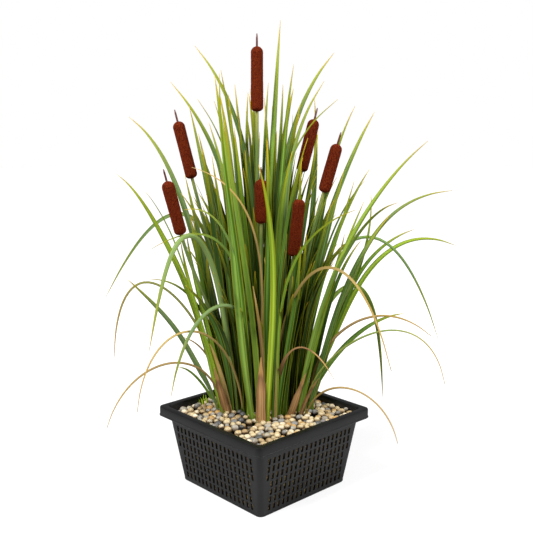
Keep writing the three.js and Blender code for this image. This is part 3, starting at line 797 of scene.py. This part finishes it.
place = np.linspace(0, 1, INNER_STEPS)
depth = np.interp(place, [0, 0.3, 1], [4.0, 1.6, 0.6])
rightward = np.tile(ACROSS, (INNER_STEPS, 1))
rng = np.random.default_rng(21)
inner = []
for width, shade, bloom, *corners in SHOWN_LEAVES:
    route = row_route(*corners)
    across = faced(route, rightward, BEST_SIDE + rng.normal(0, 0.4), rng.uniform(0.1, 0.5))
    rings = blade_rings(route, across, width * strap(place) + 0.7, depth, GUTTER, INNER_SIDES)
    inner.append((loft(rings), (shade, bloom, rng.random())))
rng = np.random.default_rng(4)
for i in range(HEART_LEAVES):
    share = math.sqrt((i + 0.5) / HEART_LEAVES)
    azimuth = i * GOLDEN_ANGLE + rng.normal(0, 0.06)
    outward = np.array([math.cos(azimuth), math.sin(azimuth), 0])
    sideways = np.array([-outward[1], outward[0], 0])
    behind = 0.5 + 0.5 * float(np.dot(outward, AWAY))
    # The front is left to the leaves with rows.
    if behind * share < 0.5 * share - 0.3:
        continue
    height = (220 + 310 * behind) * (1 + 0.15 * (1 - share)) * rng.uniform(0.75, 1.15)
    lean = (15 + 130 * share ** 1.5 * rng.uniform(0.3, 1.1)) * (0.5 + 0.5 * behind)
    drift = rng.normal(0, 26) * sideways
    root = CLUMP + outward * HEART_RADIUS * share + UP * INNER_ROOT
    rise = root + outward * 0.10 * lean + UP * 0.42 * height
    bow = root + outward * 0.28 * lean + 0.3 * drift + UP * 0.80 * height
    tip = root + outward * lean + drift + UP * height
    route = bezier((root, rise, bow, tip), INNER_STEPS)
    twist = rng.uniform(-1.3, 1.3) * np.minimum(1, 1.8 * place) + rng.normal(0, 0.3)
    across = np.cos(twist)[:, None] * sideways + np.sin(twist)[:, None] * outward
    width = rng.uniform(9, 13.5) * strap(place) + 0.7
    rings = blade_rings(route, across, width, depth, GUTTER, INNER_SIDES)
    # Painted shade: the nearer a leaf stands to the heart and the front of the clump, the darker it is
    # coloured.
    tone = (rng.uniform(0, 0.25) + 0.3 * behind * share, rng.uniform(0, 0.15), rng.random())
    inner.append((loft(rings), tone))
for number in range(1, TUFTS + 1):
    blades, tones = zip(*inner[number - 1::TUFTS])
    tuft = add_mesh(f"inner_leaves_{number}", *join(blades), blade_green)
    finish_leaf(tuft.data, tones, INNER_SIDES, INNER_STEPS)
    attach(tuft, "root")
    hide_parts(f"leaf_tuft_{number}")

# --- Dry strands ------------------------------------------------------------
# A few thin, half-rotted leaves among the green ones: tan or golden strips
# that have split off along their veins. A row gives a strand's width and shade,
# and then its route as for a leaf.
STRANDS = [
    (6, 0.9, (20, -75), (20, -75, 240), (15, -75, 355), (35, -80, 470)),
    (5, 0.3, (0, -70), (-20, -70, 225), (20, -75, 330), (0, -75, 435)),
    (6, 0.4, (0, -75), (5, -75, 210), (-5, -75, 300), (-20, -80, 385)),
    (8, 0.9, (-60, -45), (-70, -45, 170), (-80, -45, 220), (-100, -50, 270)),
    (3.5, 0.4, (-80, 10), (-90, 10, 170), (-95, 5, 255), (-160, 0, 270)),
    (3.5, 0.3, (-65, -25), (-85, -25, 235), (-115, -25, 340), (-140, -30, 455)),
    (4, 1.0, (0, 0), (-30, -40, 245), (60, -90, 545), (-125, -85, 595)),
]
blades, tones = [], []
for width, shade, *corners in STRANDS:
    route = row_route(*corners)
    across = faced(route, rightward, BEST_SIDE + rng.normal(0, 0.3), 0.3)
    width = width * (1 - place ** 5) + 0.7
    blades.append(loft(blade_rings(route, across, width, 0.6 * depth, 0.08, INNER_SIDES)))
    tones.append((shade, 0.1, rng.random()))
strands = add_mesh("dry_strands", *join(blades), blade_straw)
finish_leaf(strands.data, tones, INNER_SIDES, INNER_STEPS)
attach(strands, "root")

# --- New shoots -------------------------------------------------------------
# Two small fans of fresh lime-green leaves that have just come through the
# gravel, one at the front of the clump and one at its left.
shoot_green, dew = start_material("cattail_shoot_fresh")
# Thin young leaf with no wax yet: clear yellow-green and half gloss.
dew.inputs["Base Color"].default_value = srgb("86a314")
dew.inputs["Roughness"].default_value = 0.4
dew.inputs["Specular IOR Level"].default_value = 0.3

SHOOT_STEPS, SHOOT_SIDES = 10, 8
SHOOT_ROOT = 131
# Where a fan stands, its number of leaves, and their greatest height and width.
SHOOTS = [((-14, -88), 9, 17, 4.5), ((-118, 6), 6, 16, 3.5)]
along = np.linspace(0, 1, SHOOT_STEPS)
rightward = np.tile(ACROSS, (SHOOT_STEPS, 1))
blades = []
for (x, y), count, tallest, widest in SHOOTS:
    for _ in range(count):
        azimuth, lean = rng.uniform(0, 2 * math.pi), rng.uniform(3, 12)
        height = tallest * rng.uniform(0.5, 1)
        outward = np.array([math.cos(azimuth), math.sin(azimuth), 0])
        x_here, y_here = x + rng.normal(0, 4), y + rng.normal(0, 3)
        root = CLUMP + x_here * ACROSS + y_here * AWAY + UP * SHOOT_ROOT
        route = bezier((root, root + UP * 0.5 * height,
                        root + outward * 0.3 * lean + UP * (0.8 * height + 3),
                        root + outward * lean + UP * (height + 5)), SHOOT_STEPS)
        across = faced(route, rightward, BEST_SIDE + rng.normal(0, 0.8), 0.4)
        width = widest * (1 - along ** 2) + 0.2
        blades.append(loft(blade_rings(route, across, width, 0.8 - 0.5 * along, 0.12, SHOOT_SIDES)))
shoots = add_mesh("new_shoots", *join(blades), shoot_green)
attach(shoots, "root")

# --- Pea gravel -------------------------------------------------------------
# Water-rounded pebbles of 9 to 15 mm, poured in a layer over the soil so that
# it stays put under water. They are loose and lie on their flats.
GRAVEL_TOP = 134
PEBBLES, UNDER_PEBBLES = 360, 330
PEBBLE_COLOURS = ["cabc98", "b8a884", "dad2bc", "a08c66", "98968e", "7a7b7c", "505254", "b4925a", "aea894"]
PEBBLE_SHARES = [0.2, 0.18, 0.12, 0.12, 0.12, 0.1, 0.05, 0.04, 0.07]

stone, polish = start_material("pea_gravel_rounded")
# Flint, quartz and limestone worn smooth by water: dry and faintly polished,
#  with 0.8 mm specks and 5 mm rusty stains. Each pebble is painted browner and
#  darker where its faces turn down: a painted shade on its underside.
place = add_node(stone, "TexCoord").outputs["Object"]
own = add_node(stone, "Attribute", attribute_name="stone")
speck = add_node(stone, "TexNoise", {"Vector": place, "Scale": 1300.0, "Detail": 4.0, "Roughness": 0.7})
stain = add_node(stone, "TexNoise", {"Vector": place, "Scale": 190.0, "Detail": 3.0})
dark = colour_ramp(stone, speck.outputs["Fac"], [(0.3, "8c8274"), (0.5, "ffffff"), (0.8, "fff6e6")])
rust = colour_ramp(stone, stain.outputs["Fac"], [(0.35, "ffffff"), (0.62, "e8cfa0"), (0.75, "b98a50")])
first = add_node(stone, "Mix", {"Factor": 0.75, "A": own.outputs["Color"], "B": dark}, data_type="RGBA",
                 blend_type="MULTIPLY")
second = add_node(stone, "Mix", {"Factor": 0.55, "A": first.outputs["Result"], "B": rust}, data_type="RGBA",
                  blend_type="MULTIPLY")
# Painted shade: faces that turn down are darkened and browned.
side = add_node(stone, "SeparateXYZ", {"Vector": add_node(stone, "NewGeometry").outputs["True Normal"]})
turned = add_node(stone, "MapRange", {"Value": side.outputs["Z"], "From Min": -0.1, "From Max": 0.75,
                                      "To Min": 0.85, "To Max": 0.0})
under = add_node(stone, "Mix", {"Factor": turned.outputs["Result"], "A": second.outputs["Result"],
                                "B": srgb("8a6c42")}, data_type="RGBA", blend_type="MULTIPLY")
link(stone, under.outputs["Result"], polish.inputs["Base Color"])
pitted = add_node(stone, "Bump", {"Height": speck.outputs["Fac"], "Strength": 0.25, "Distance": 0.0006})
link(stone, pitted.outputs["Normal"], polish.inputs["Normal"])
polish.inputs["Roughness"].default_value = 0.5

roots = []
for name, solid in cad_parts.items():
    if name.startswith(("stem", "tall", "arching", "dry")):
        corners = np.array([v.co for v in solid.data.vertices]) / MM
        low = corners[(corners[:, 2] > ROOT_HEIGHT - 2) & (corners[:, 2] < ROOT_HEIGHT + 4)]
        if len(low):
            roots.append(low[:, :2].mean(0))
roots = np.array(roots)
ROOT_RADIUS = 3.5
SETTLE_ROUNDS, SETTLE_STEP = 90, 0.35


def scatter(count, smallest, largest, half, seed):
    """Places for pebbles inside a square, pushed apart and off the roots until they hardly touch."""
    rng = np.random.default_rng(seed)
    radius = rng.uniform(smallest, largest, count)
    spot = rng.uniform(-half, half, (count, 2))
    for _ in range(SETTLE_ROUNDS):
        apart = spot[:, None] - spot[None]
        distance = np.linalg.norm(apart, axis=2) + np.eye(count) * 99 + 1e-6
        overlap = np.clip((radius[:, None] + radius[None]) - distance, 0, None)
        spot += SETTLE_STEP * (apart / distance[..., None] * overlap[..., None]).sum(1)
        away = spot[:, None] - roots[None]
        distance = np.linalg.norm(away, axis=2) + 1e-6
        overlap = np.clip(radius[:, None] + ROOT_RADIUS - distance, 0, None)
        spot += SETTLE_STEP * (away / distance[..., None] * overlap[..., None]).sum(1)
        spot = np.clip(spot, -(half - radius[:, None]), half - radius[:, None])
    return spot, radius, rng


def ball(subdivisions):
    """Points and triangles of a ball of radius 1."""
    sphere = bmesh.new()
    bmesh.ops.create_icosphere(sphere, subdivisions=subdivisions, radius=1)
    points = np.array([v.co for v in sphere.verts])
    faces = np.array([[v.index for v in f.verts] for f in sphere.faces])
    sphere.free()
    return points, faces


def pebble_layer(name, count, sizes, height, spread, subdivisions, seed, painted_shade_brightness):
    """A layer of pebbles whose tops are about at a height. The last argument scales their colour: below 1 it
    darkens them as a painted shade.
    """
    half = inner_half(height) - 1.2
    spot, radius, rng = scatter(count, sizes[0] / 2, sizes[1] / 2, half, seed)
    base, triangles = ball(subdivisions)
    points, faces, colours = [], [], []
    for i in range(count):
        shape = base * [rng.uniform(0.95, 1.12), rng.uniform(0.88, 1.0), rng.uniform(0.78, 0.92)]
        for _ in range(3):
            lobe = unit(rng.normal(size=3))
            shape = shape * (1 + 0.07 * np.cos(2.2 * (base @ lobe) + rng.uniform(0, 6))[:, None])
        turn = rng.uniform(0, 2 * math.pi)
        tilt = rng.normal(0, 0.25)
        rotation = np.array(Matrix.Rotation(turn, 3, "Z") @ Matrix.Rotation(tilt, 3, "X"))
        middle = height - radius[i] * 0.75 + rng.normal(0, spread)
        points.append(shape @ rotation.T * radius[i] + [*spot[i], middle])
        faces.append(triangles + i * len(base))
        colour = np.array(srgb(PEBBLE_COLOURS[rng.choice(len(PEBBLE_COLOURS), p=PEBBLE_SHARES)]))
        # Scaled down for the lower layer: a painted shade in the gaps.
        colour[:3] *= painted_shade_brightness * rng.uniform(0.8, 1.12)
        colours.append(np.repeat(colour[None], len(base), axis=0))
    layer = add_mesh(name, np.concatenate(points), [tuple(f) for f in np.concatenate(faces)], stone)
    tint = layer.data.attributes.new("stone", "FLOAT_COLOR", "POINT")
    tint.data.foreach_set("color", np.concatenate(colours).astype(np.float32).ravel())
    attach(layer, "root")
    return layer


gravel = pebble_layer("pea_gravel_top", PEBBLES, (9.5, 15), GRAVEL_TOP + 3.5, 1.7, 3, 3, 1.0)
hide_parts("gravel_bed")
# A lower layer, coloured dark as a painted shade, closes the gaps between the pebbles on top.
pebble_layer("pea_gravel_under", UNDER_PEBBLES, (10, 15), GRAVEL_TOP - 7, 1.2, 2, 5, 0.12)

# --- Studio -----------------------------------------------------------------
# A white sweep and room that show as plain white but light the plant only a
# little. Two large soft lamps hang above it, the stronger on the left.
sweep, matt = start_material("studio_sweep_white_matt")
matt.inputs["Base Color"].default_value = srgb("a6a6a6")
matt.inputs["Roughness"].default_value = 0.9
matt.inputs["Emission Color"].default_value = srgb("ffffff")
# The sweep glows to the camera alone: painted light that rises from 0.62 within 0.3 m of the middle to 1.0
# beyond 1.3 m.
shown = add_node(sweep, "LightPath").outputs["Is Camera Ray"]
place = add_node(sweep, "TexCoord").outputs["Object"]
distance = add_node(sweep, "VectorMath", {0: place}, operation="LENGTH")
lift = add_node(sweep, "MapRange", {"Value": distance.outputs["Value"], "From Min": 0.3, "From Max": 1.3,
                                    "To Min": 0.62, "To Max": 1.0})
glow = add_node(sweep, "Math", {0: lift.outputs["Result"], 1: shown}, operation="MULTIPLY")
link(sweep, glow.outputs[0], matt.inputs["Emission Strength"])
FLOOR_HALF, FLOOR_DROP = 9000, -0.3
floor = add_mesh("floor", [(x * FLOOR_HALF, y * FLOOR_HALF, FLOOR_DROP)
                           for x, y in ((-1, -1), (1, -1), (1, 1), (-1, 1))], [(0, 1, 2, 3)], sweep)

room = bpy.data.worlds.new("studio")
room.use_nodes = True
seen = add_node(room, "LightPath").outputs["Is Camera Ray"]
glow = add_node(room, "MapRange", {"Value": seen, "To Min": 0.2, "To Max": 1.0})
link(room, glow.outputs["Result"], room.node_tree.nodes["Background"].inputs["Strength"])
room.node_tree.nodes["Background"].inputs["Color"].default_value = (1, 1, 1, 1)
bpy.context.scene.world = room

LAMP_SIZE = 1.0
for name, spot, power in (("key", (-1400, 100, 2000), 78), ("fill", (600, -1500, 1700), 54)):
    lamp = bpy.data.objects.new(name, bpy.data.lights.new(name, "AREA"))
    lamp.data.size = LAMP_SIZE
    lamp.data.energy = power
    lamp.location = Vector(spot) * MM
    lamp.rotation_euler = (Vector((0, 0, 0.35)) - lamp.location).to_track_quat("-Z", "Y").to_euler()
    bpy.context.scene.collection.objects.link(lamp)
bpy.context.scene.view_settings.view_transform = "Standard"
